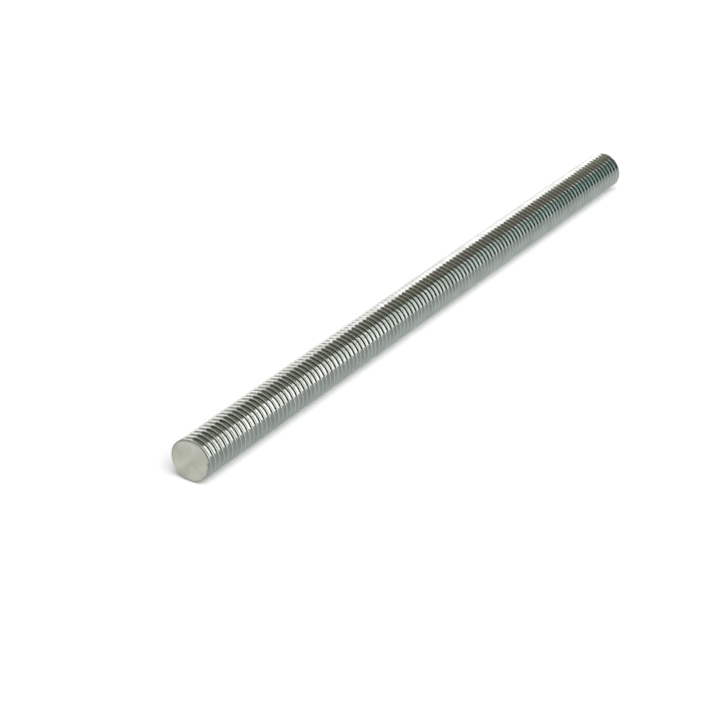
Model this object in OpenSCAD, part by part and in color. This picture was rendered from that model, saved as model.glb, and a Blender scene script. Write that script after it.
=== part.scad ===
// Threaded rod: a plain bar with a metric thread over its whole length and both ends cut square.
// The rod lies along +X, with the centre of its near cut end at the origin.

/* [Rod] */
// Length over the two cut ends
rod_length = 150; // [30:1:180]
// Major diameter, over the crests
major_d = 8; // [5:0.5:16]
// Width of the small bevel round each cut end
end_bevel = 0.2; // [0.1:0.05:0.8]
// Narrowest plain land between a bevel and the groove next to it
end_land = 0.05; // [0.02:0.01:0.5]

/* [Thread] */
// Distance from crest to crest along the rod
pitch = 1.25; // [0.8:0.05:2]
// Angle between the two flanks of the groove
flank_angle = 60; // [55:1:65]
// Width of the flat on top of each crest
crest_flat = 0.16; // [0.1:0.01:0.25]
// Width of the flat at the bottom of the groove
root_flat = 0.2; // [0.1:0.01:0.3]

/* [Hidden] */
$fn = 96;
metal_colour = [0.72, 0.74, 0.72];
major_r = major_d / 2;
flank_w = (pitch - crest_flat - root_flat) / 2;
root_r = major_r - flank_w / tan(flank_angle / 2);
mouth_w = root_flat + 2 * flank_w;
groove_inset = end_bevel + end_land + mouth_w / 2;

// The groove's outline in [radius, length], with its middle at this place along the rod
function groove_outline(middle) = [
    [major_r, middle - mouth_w / 2],
    [root_r, middle - root_flat / 2],
    [root_r, middle + root_flat / 2],
    [major_r, middle + mouth_w / 2]
];

// Half of the rod's lengthwise section: the axis, the bevelled ends and every groove in between
module half_section() {
    near_end = [[0, 0], [major_r - end_bevel, 0], [major_r, end_bevel]];
    grooves = [for (middle = [groove_inset : pitch : rod_length - groove_inset]) each groove_outline(middle)];
    far_end = [[major_r, rod_length - end_bevel], [major_r - end_bevel, rod_length], [0, rod_length]];
    polygon(concat(near_end, grooves, far_end));
}

module threaded_rod() {
    color(metal_colour) rotate([0, 90, 0]) rotate_extrude() half_section();
}

threaded_rod();
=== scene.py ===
import bmesh
import bpy
import math
from mathutils import Euler, Matrix, Vector


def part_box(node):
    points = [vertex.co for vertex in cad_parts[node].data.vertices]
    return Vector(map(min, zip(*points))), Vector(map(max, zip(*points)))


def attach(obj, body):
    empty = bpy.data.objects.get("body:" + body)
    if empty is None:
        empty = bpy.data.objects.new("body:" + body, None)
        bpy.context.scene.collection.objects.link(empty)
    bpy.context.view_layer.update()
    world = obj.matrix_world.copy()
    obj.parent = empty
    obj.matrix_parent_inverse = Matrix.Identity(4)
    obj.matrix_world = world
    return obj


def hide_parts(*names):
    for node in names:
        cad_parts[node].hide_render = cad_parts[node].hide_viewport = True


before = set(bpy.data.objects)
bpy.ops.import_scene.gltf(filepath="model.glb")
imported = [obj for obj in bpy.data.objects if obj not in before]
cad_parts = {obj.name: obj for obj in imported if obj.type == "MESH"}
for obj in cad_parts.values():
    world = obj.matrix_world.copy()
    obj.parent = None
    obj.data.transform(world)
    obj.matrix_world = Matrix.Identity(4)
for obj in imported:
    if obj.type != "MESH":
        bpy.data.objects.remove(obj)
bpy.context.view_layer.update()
mm = 0.001
rodLow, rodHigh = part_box("threaded_rod")
rodLength = rodHigh[0] - rodLow[0]
rodRadius = (rodHigh[2] - rodLow[2]) / 2
floorLevel = rodLow[2]
mixFactor, colourA, colourB, mixedColour = 0, 6, 7, 2  # sockets of a Mix node, several share a name
print("frame loaded, rod", round(rodLength / mm, 2), "mm long")


def linear(hexColour):
    # sRGB hex to the linear colour that the shaders work in
    parts = [int(hexColour[i:i + 2], 16) / 255 for i in (1, 3, 5)]
    return [c / 12.92 if c <= 0.04045 else ((c + 0.055) / 1.055) ** 2.4 for c in parts] + [1.0]


def addNode(tree, kind, settings=None, links=None):
    # settings go to properties or sockets, links go from an output to one of the node's inputs
    node = tree.nodes.new(kind)
    for name, value in (settings or {}).items():
        if isinstance(name, int) or name in node.inputs:
            node.inputs[name].default_value = value
        else:
            setattr(node, name, value)
    for name, source in (links or {}).items():
        tree.links.new(source, node.inputs[name])
    return node


def newMaterial(name):
    material = bpy.data.materials.new(name)
    material.use_nodes = True
    tree = material.node_tree
    tree.nodes.clear()
    return material, tree, addNode(tree, "ShaderNodeOutputMaterial")


# Camera: a long lens on a stand, in front of the near end and to its left
camera = dict(
    lens=112.2,  # mm
    sensor=36,  # mm
    sees=(0.01, 20),  # m, nearest and farthest
    depth=381.5,  # mm from the lens to the near end, along the view
    heading=33.34,  # degrees from the rod's axis to the view, seen from above
    down=28.1,  # degrees below the horizon
    imageSide=720,  # pixels
    nearEnd=(189.5, 461.45),  # pixel where the centre of the near end lies
)


def placeCamera(c):
    data = bpy.data.cameras.new("camera")
    data.lens = c["lens"]
    data.sensor_width = c["sensor"]
    data.clip_start, data.clip_end = c["sees"]
    body = bpy.data.objects.new("camera", data)
    bpy.context.scene.collection.objects.link(body)
    turn = Euler((math.radians(90 - c["down"]), 0, math.radians(c["heading"] - 90))).to_matrix()
    half = c["imageSide"] / 2
    perPixel = data.sensor_width / data.lens / c["imageSide"] * c["depth"] * mm
    right = (c["nearEnd"][0] - half) * perPixel
    up = (half - c["nearEnd"][1]) * perPixel
    place = Vector((rodLow[0], 0, 0)) - turn @ Vector((right, up, -c["depth"] * mm))
    body.matrix_world = Matrix.Translation(place) @ turn.to_4x4()
    bpy.context.scene.camera = body


placeCamera(camera)

# Rolled thread: one pitch of the outline is swept along the helix
thread = dict(
    pitch=1.25,  # mm
    depth=0.66,  # mm from crest to root
    flankLean=30,  # degrees between a flank and the cross-section
    crestRound=0.14,  # mm, radius
    rootRound=0.18,
    roundSteps=3,
    flankGuard=0.02,  # mm from a round to the edge that keeps the flank's shading flat
    stepsPerTurn=36,
    startTurn=0.41,  # turns by which the crest leads at the near end
    spareTurns=2,  # swept ahead of the near end, to be cut off
    weld=0.002,  # mm within which the points that two turns share are merged
    bevel=0.2,  # mm
    bevelSteps=4,
    dulled=0.45,  # mm from a cut end over which deburring has left dull bare steel
    smear=0.6,  # mm from a cut end over which the saw has pressed the groove shut
    smearShare=0.6,  # part of the groove's depth that it closes right at the cut
    sharpFrom=28,  # degrees between two faces from which their edge stays sharp
    squareFrom=0.99,  # part of a face's normal along the rod from which it is a flat cut end
)
onCut = 1e-7  # m within which a point counts as lying on a cut


def arcPoints(centre, radius, first, last, steps):
    # points on an arc in (along, out), by angle in degrees
    angles = [math.radians(first + (last - first) * i / steps) for i in range(steps + 1)]
    return [(centre[0] + radius * math.cos(a), centre[1] + radius * math.sin(a)) for a in angles]


def threadOutline(t):
    # from the middle of one root over the crest to the middle of the next root, in mm
    crest = rodRadius / mm
    lean = math.radians(t["flankLean"])
    crestY = crest - t["crestRound"]
    rootY = crest - t["depth"] + t["rootRound"]
    rootX = t["pitch"] / 2
    acrossFlank = (t["crestRound"] + t["rootRound"]) / math.cos(lean)
    crestX = rootX - acrossFlank - (crestY - rootY) * math.tan(lean)
    crestArc = arcPoints((crestX, crestY), t["crestRound"], 90, t["flankLean"], t["roundSteps"])
    rootArc = arcPoints((rootX, rootY), t["rootRound"], 180 + t["flankLean"], 270, t["roundSteps"])
    along = t["flankGuard"] * math.sin(lean)
    down = t["flankGuard"] * math.cos(lean)
    flank = [(crestArc[-1][0] + along, crestArc[-1][1] - down),
             (rootArc[0][0] - along, rootArc[0][1] + down)]
    side = crestArc + flank + rootArc
    return [(-x, r) for x, r in reversed(side)] + side


def sweepThread(t):
    # one turn is spun, and the rod's length is reached by doubling it
    bm = bmesh.new()
    pitch = t["pitch"] * mm
    start = rodLow[0] + (t["startTurn"] - t["spareTurns"]) * pitch
    line = [bm.verts.new((start + x * mm, 0, r * mm)) for x, r in threadOutline(t)]
    edges = [bm.edges.new(pair) for pair in zip(line, line[1:])]
    bmesh.ops.spin(bm, geom=line + edges, cent=(0, 0, 0), axis=(1, 0, 0), angle=2 * math.pi,
                   dvec=(pitch / t["stepsPerTurn"], 0, 0), steps=t["stepsPerTurn"], use_duplicate=False)
    turns = 1
    while (turns - t["spareTurns"] - 1) * pitch < rodLength:
        copy = bmesh.ops.duplicate(bm, geom=bm.verts[:] + bm.edges[:] + bm.faces[:])
        points = [v for v in copy["geom"] if isinstance(v, bmesh.types.BMVert)]
        bmesh.ops.translate(bm, vec=(turns * pitch, 0, 0), verts=points)
        turns *= 2
    bmesh.ops.remove_doubles(bm, verts=bm.verts, dist=t["weld"] * mm)
    return bm


def cutAt(bm, x, outward=None):
    # slices at x along the rod, and with a direction also drops what lies past the cut and closes it
    geometry = bm.verts[:] + bm.edges[:] + bm.faces[:]
    cut = bmesh.ops.bisect_plane(bm, geom=geometry, dist=onCut, plane_co=(x, 0, 0),
                                 plane_no=(outward or 1, 0, 0), clear_outer=outward is not None)
    if outward:
        rim = [e for e in cut["geom_cut"] if isinstance(e, bmesh.types.BMEdge)]
        bmesh.ops.holes_fill(bm, edges=rim, sides=0)


def fromEnd(x):
    # how far inward from the nearer cut end
    return min(x - rodLow[0], rodHigh[0] - x)


def pressEnds(bm, t):
    # presses the groove shut towards each cut and turns the bevel
    for v in bm.verts:
        inward = fromEnd(v.co.x)
        out = math.hypot(v.co.y, v.co.z)
        pressed = max(0, 1 - inward / (t["smear"] * mm)) * t["smearShare"]
        closed = out + (rodRadius - out) * pressed
        bevelled = rodRadius - max(0, t["bevel"] * mm - inward)
        v.co.y *= min(closed, bevelled) / out
        v.co.z *= min(closed, bevelled) / out


def makeRod(t):
    bm = sweepThread(t)
    cutAt(bm, rodLow[0], -1)
    cutAt(bm, rodHigh[0], 1)
    for step in range(t["bevelSteps"]):
        inset = (step + 1) / t["bevelSteps"] * t["bevel"] * mm
        cutAt(bm, rodLow[0] + inset)
        cutAt(bm, rodHigh[0] - inset)
    pressEnds(bm, t)
    bmesh.ops.recalc_face_normals(bm, faces=bm.faces)
    for edge in bm.edges:
        edge.smooth = edge.calc_face_angle(0) < math.radians(t["sharpFrom"])
    for face in bm.faces:
        face.smooth = abs(face.normal.x) < t["squareFrom"]
        isDull = fromEnd(face.calc_center_median().x) < t["dulled"] * mm
        face.material_index = int(isDull)  # 0 is the zinc, 1 the sawn steel
    mesh = bpy.data.meshes.new("rolled_thread")
    bm.to_mesh(mesh)
    bm.free()
    piece = bpy.data.objects.new("rolled_thread", mesh)
    bpy.context.scene.collection.objects.link(piece)
    return piece


rod = makeRod(thread)
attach(rod, "root")
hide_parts("threaded_rod")
triangles = sum(len(face.vertices) - 2 for face in rod.data.polygons)
print("thread swept:", len(rod.data.polygons), "faces,", triangles, "triangles")

# Bright zinc plate on rolled steel
zinc = dict(
    colour="#e4e4e2",
    passivated="#d5d7d3",  # where the clear passivation lies thicker
    patchSize=3.5,  # mm, patches of thicker passivation
    patchEdge=(0.35, 0.65),  # between these noise levels one finish passes into the other
    smooth=0.09,  # roughness of the thin finish
    dull=0.17,  # and of the thick one
    # mm wide and deep: uneven rolling, then the plate's grain, really ten times finer, as coarse as shows
    marks=[(2.2, 0.012), (0.30, 0.004)],
)


def zincPlate(z):
    # bright metal whose faint patches and grain break up the long reflections from turn to turn
    material, tree, output = newMaterial("bright zinc plate")
    place = addNode(tree, "ShaderNodeTexCoord").outputs["Object"]
    patches = addNode(tree, "ShaderNodeTexNoise", {"Scale": 1 / (z["patchSize"] * mm)}, {"Vector": place})
    low, high = z["patchEdge"]
    thick = addNode(tree, "ShaderNodeMapRange", {"From Min": low, "From Max": high},
                    {"Value": patches.outputs[0]}).outputs[0]
    rough = addNode(tree, "ShaderNodeMapRange", {"To Min": z["smooth"], "To Max": z["dull"]},
                    {"Value": thick})
    tones = {colourA: linear(z["colour"]), colourB: linear(z["passivated"])}
    tint = addNode(tree, "ShaderNodeMix", {"data_type": "RGBA", **tones}, {mixFactor: thick})
    shader = addNode(tree, "ShaderNodeBsdfPrincipled", {"Metallic": 1.0},
                     {"Base Color": tint.outputs[mixedColour], "Roughness": rough.outputs[0]})
    addMarks(tree, place, z["marks"], shader)
    tree.links.new(shader.outputs[0], output.inputs["Surface"])
    return material


def addMarks(tree, place, marks, shader):
    # bumps of each width and depth in turn, one upon the other
    below = None
    for width, depth in marks:
        noise = addNode(tree, "ShaderNodeTexNoise", {"Scale": 1 / (width * mm)}, {"Vector": place})
        links = {"Height": noise.outputs[0]}
        if below is not None:
            links["Normal"] = below
        below = addNode(tree, "ShaderNodeBump", {"Distance": depth * mm}, links).outputs[0]
    tree.links.new(below, shader.inputs["Normal"])


# Square-cut end and the deburred strip behind it: bare steel, dull from the saw, with painted shade that
# darkens it towards the rod's outer edge
cutEnd = dict(
    colour="#c9cabf",
    stained="#b1b2a5",
    patchSize=2.4,  # mm
    patchEdge=(0.30, 0.70),
    patchDetail=4,
    # painted shade: the dark tone that the bevel and the end's outer ring take, standing in for the shade
    # on the bevel
    rim="#84857c",
    paintedShadeWidth=(3.62, 3.86),  # mm from the axis, over which the painted shade at the outer edge comes in
    metallic=0.25,  # low, because the torn surface scatters light more than it mirrors it
    roughness=0.55,
    sawRun=12,  # how many times longer than wide a saw mark is
    marks=[(0.12, 0.006)],  # mm wide and deep
)


def sawnEnd(s):
    # matt grey that stands out from the mirror-like thread, with stains, fine level saw marks and painted
    # shade at its outer edge
    material, tree, output = newMaterial("sawn steel end")
    place = addNode(tree, "ShaderNodeTexCoord").outputs["Object"]
    pattern = {"Scale": 1 / (s["patchSize"] * mm), "Detail": s["patchDetail"]}
    stains = addNode(tree, "ShaderNodeTexNoise", pattern, {"Vector": place})
    low, high = s["patchEdge"]
    stained = addNode(tree, "ShaderNodeMapRange", {"From Min": low, "From Max": high},
                      {"Value": stains.outputs[0]})
    tones = {colourA: linear(s["colour"]), colourB: linear(s["stained"])}
    steel = addNode(tree, "ShaderNodeMix", {"data_type": "RGBA", **tones}, {mixFactor: stained.outputs[0]})
    flat = addNode(tree, "ShaderNodeVectorMath", {"operation": "MULTIPLY", 1: (0, 1, 1)}, {0: place})
    fromAxis = addNode(tree, "ShaderNodeVectorMath", {"operation": "LENGTH"}, {0: flat.outputs["Vector"]})
    # painted shade: the steel darkens towards the rim tone as the distance from the axis grows
    low, high = s["paintedShadeWidth"]
    edge = addNode(tree, "ShaderNodeMapRange", {"From Min": low * mm, "From Max": high * mm},
                   {"Value": fromAxis.outputs["Value"]})
    tint = addNode(tree, "ShaderNodeMix", {"data_type": "RGBA", colourB: linear(s["rim"])},
                   {mixFactor: edge.outputs[0], colourA: steel.outputs[mixedColour]})
    shader = addNode(tree, "ShaderNodeBsdfPrincipled",
                     {"Metallic": s["metallic"], "Roughness": s["roughness"]},
                     {"Base Color": tint.outputs[mixedColour]})
    along = addNode(tree, "ShaderNodeMapping", {"Scale": (1, 1 / s["sawRun"], 1)}, {"Vector": place})
    addMarks(tree, along.outputs[0], s["marks"], shader)
    tree.links.new(shader.outputs[0], output.inputs["Surface"])
    return material


rod.data.materials.append(zincPlate(zinc))
rod.data.materials.append(sawnEnd(cutEnd))
print("finishes made")

# White table and room, with cards that only the metal sees
studio = dict(
    floorSize=3.0,  # m
    floorColour="#ffffff",
    floorRoughness=0.9,
    fill=0.24,  # brightness of the room as light
    lampPower=3.25,
    lampSpread=65,  # degrees, for a soft edge to the shadow
    lampFrom=(-0.6, -1.0, 1.7),  # direction towards the lamp
)

# Cards: two corners in metres, and tones by their place along the rod, in metres too
cards = {
    "ceiling_near": dict(
        low=(-0.17, -0.095, 0.2), high=(0.17, 0.155, 0.2), strength=1.0,
        tones=[(0.06, "#808a78"), (0.09, "#838274"), (0.12, "#756d65")]),
    "ceiling_middle": dict(
        low=(0.17, -0.095, 0.2), high=(0.33, 0.145, 0.2), strength=1.0,
        tones=[(0.20, "#dce2d6"), (0.24, "#c4c8bc"), (0.28, "#8a887e"), (0.33, "#665f58")]),
    "ceiling_far": dict(
        low=(0.33, -0.05, 0.2), high=(1.3, 0.185, 0.2), strength=1.0,
        tones=[(0.0, "#665f58")]),
    "front_softbox": dict(
        low=(-1.0, -0.16, 0.0), high=(0.9, -0.16, 0.3), strength=2.0,
        louvres=dict(first=-0.35, spacing=0.0015, height=0.01, colour="#1c3430"),
        tones=[(-0.03, "#252d27"), (0.025, "#fffefb"), (0.08, "#fffefb"), (0.102, "#dcdedb"),
               (0.127, "#c3cbc7"), (0.15, "#7e9494"), (0.18, "#a5a59e"), (0.20, "#bbbeb9"),
               (0.23, "#b3b8b3"), (0.29, "#99a19d"), (0.343, "#5c7474"), (0.45, "#303e3c")]),
    "softbox_bar": dict(
        low=(-0.08, -0.148, 0.148), high=(0.55, -0.148, 0.155), strength=1.0,
        tones=[(0.0, "#50585a")]),
    "back_wall": dict(
        low=(-4.0, 1.5, -0.1), high=(4.0, 1.5, 0.2), strength=1.5,
        tones=[(0.9, "#d1d0cd"), (1.3, "#e1e1df"), (1.6, "#ffffff")]),
    "back_wall_above": dict(
        low=(-4.0, 1.5, 0.2), high=(4.0, 1.5, 2.0), strength=1.5,
        tones=[(-1.2, "#ffffff"), (-0.9, "#d8d7d4"), (0.9, "#d8d7d4"), (1.5, "#ffffff")]),
    "camera_side": dict(
        low=(-1.0, -1.4, -0.1), high=(-1.0, 0.65, 0.5), strength=1.0,
        tones=[(0.0, "#2a342c")]),
    "camera_above": dict(
        low=(-1.0, -1.4, 0.5), high=(-1.0, 0.65, 0.9), strength=1.0,
        tones=[(0.0, "#605a53")]),
    "left_back": dict(
        low=(-1.0, 0.65, -0.1), high=(-1.0, 1.6, 0.55), strength=1.0,
        tones=[(0.0, "#a4a49e")]),
    "far_side": dict(
        low=(0.9, -0.15, 0.0), high=(0.9, 0.25, 0.2), strength=1.0,
        tones=[(0.0, "#3a443c")]),
    "table_front": dict(
        low=(-4.0, -4.0, -0.1), high=(4.0, 0.09, -0.1), strength=1.0,
        tones=[(-0.52, "#2a342c"), (-0.42, "#8f9794"), (-0.12, "#98a09d"), (0.0, "#b0b8b5"),
               (0.1, "#b6beba"), (0.3, "#c6ceca"), (0.7, "#b6beba")]),
    "table_back": dict(
        low=(-4.0, 0.09, -0.1), high=(4.0, 4.0, -0.1), strength=1.35,
        tones=[(0.20, "#dad9d6"), (0.28, "#e3e2e0"), (0.36, "#f2f1ef"), (0.43, "#ffffff")]),
}
leastSide = 1e-6  # m, for the flat side of a card


def placeCard(name, low, high):
    # a grid turned to face the side that it is flat on, and stretched between its two corners
    bm = bmesh.new()
    bmesh.ops.create_grid(bm, x_segments=1, y_segments=1, size=0.5)
    low, high = Vector(low), Vector(high)
    for axis, extent in (("X", high.y - low.y), ("Y", high.x - low.x)):
        if extent == 0:
            bmesh.ops.rotate(bm, matrix=Matrix.Rotation(math.pi / 2, 3, axis), verts=bm.verts)
    bmesh.ops.scale(bm, vec=[max(side, leastSide) for side in high - low], verts=bm.verts)
    bmesh.ops.translate(bm, vec=(low + high) / 2, verts=bm.verts)
    mesh = bpy.data.meshes.new(name)
    bm.to_mesh(mesh)
    bm.free()
    card = bpy.data.objects.new(name, mesh)
    bpy.context.scene.collection.objects.link(card)
    card.visible_camera = card.visible_diffuse = card.visible_shadow = False
    return card


def toneRamp(tree, tones):
    # the colour that the tones have at this place along the rod
    first, last = tones[0][0], tones[-1][0]
    place = addNode(tree, "ShaderNodeTexCoord").outputs["Object"]
    along = addNode(tree, "ShaderNodeSeparateXYZ", links={0: place}).outputs["X"]
    span = addNode(tree, "ShaderNodeMapRange", {"From Min": first, "From Max": last}, {"Value": along})
    ramp = addNode(tree, "ShaderNodeValToRGB", links={"Fac": span.outputs["Result"]})
    stops = ramp.color_ramp.elements
    stops[0].color = linear(tones[0][1])
    stops[1].color = linear(tones[-1][1])
    for x, colour in tones[1:-1]:
        stops.new((x - first) / (last - first)).color = linear(colour)
    return ramp.outputs["Color"]


def cardGlow(name, c):
    # even light from the card, its colour changing along the rod where there are several tones
    material, tree, output = newMaterial(name)
    glow = addNode(tree, "ShaderNodeEmission",
                   {"Strength": c["strength"], "Color": linear(c["tones"][0][1])})
    if len(c["tones"]) > 1:
        colour = toneRamp(tree, c["tones"])
        if "louvres" in c:
            # the blades are dark on the side that faces the far end
            sides = addNode(tree, "ShaderNodeNewGeometry").outputs["Backfacing"]
            colour = addNode(tree, "ShaderNodeMix",
                             {"data_type": "RGBA", colourA: linear(c["louvres"]["colour"])},
                             {mixFactor: sides, colourB: colour}).outputs[mixedColour]
        tree.links.new(colour, glow.inputs["Color"])
    tree.links.new(glow.outputs[0], output.inputs["Surface"])
    return material


def addLouvres(card, c):
    # a row of upright blades on the card, which lets its light out only towards the near end of the rod
    blades = c["louvres"]
    low = (blades["first"], c["low"][1], c["low"][2])
    high = (blades["first"], c["low"][1] + blades["height"], c["high"][2])
    row = placeCard(card.name + "_louvres", low, high)
    row.data.materials.append(card.data.materials[0])
    array = row.modifiers.new("row", "ARRAY")
    array.count = int((c["high"][0] - blades["first"]) / blades["spacing"])
    array.use_relative_offset = False
    array.use_constant_offset = True
    array.constant_offset_displace = (blades["spacing"], 0, 0)


def makeFloor(s):
    # white table top that takes the rod's shadow, and that the metal doesn't mirror
    bpy.ops.mesh.primitive_plane_add(size=s["floorSize"], location=(0, 0, floorLevel))
    floor = bpy.context.object
    floor.name = "floor"
    material, tree, output = newMaterial("white paper")
    shader = addNode(tree, "ShaderNodeBsdfPrincipled",
                     {"Base Color": linear(s["floorColour"]), "Roughness": s["floorRoughness"]})
    tree.links.new(shader.outputs[0], output.inputs["Surface"])
    floor.data.materials.append(material)
    floor.visible_glossy = False


def makeWorld(s):
    # white wherever it is seen or mirrored, and dimmer as the room's light
    world = bpy.data.worlds.new("studio")
    bpy.context.scene.world = world
    world.use_nodes = True
    tree = world.node_tree
    background = tree.nodes["Background"]
    path = addNode(tree, "ShaderNodeLightPath").outputs
    looked = addNode(tree, "ShaderNodeMath", {"operation": "MAXIMUM"},
                     {0: path["Is Camera Ray"], 1: path["Is Glossy Ray"]})
    seen = addNode(tree, "ShaderNodeMath", {"operation": "MAXIMUM"},
                   {0: looked.outputs[0], 1: path["Is Transmission Ray"]})
    level = addNode(tree, "ShaderNodeMapRange", {"To Min": s["fill"], "To Max": 1.0},
                    {"Value": seen.outputs[0]})
    background.inputs["Color"].default_value = linear("#ffffff")
    tree.links.new(level.outputs["Result"], background.inputs["Strength"])


def placeLamp(s):
    # one wide lamp from the front and left, which gives the shadow behind the rod
    data = bpy.data.lights.new("front_lamp", "SUN")
    data.energy = s["lampPower"]
    data.angle = math.radians(s["lampSpread"])
    lamp = bpy.data.objects.new("front_lamp", data)
    bpy.context.scene.collection.objects.link(lamp)
    lamp.rotation_euler = Vector(s["lampFrom"]).to_track_quat("Z", "Y").to_euler()
    lamp.visible_glossy = False


placeLamp(studio)
for name, card in cards.items():
    panel = placeCard(name, card["low"], card["high"])
    panel.data.materials.append(cardGlow(name, card))
    if "louvres" in card:
        addLouvres(panel, card)
makeFloor(studio)
makeWorld(studio)
bpy.context.scene.view_settings.view_transform = "Standard"
print("studio set up")

print("done")
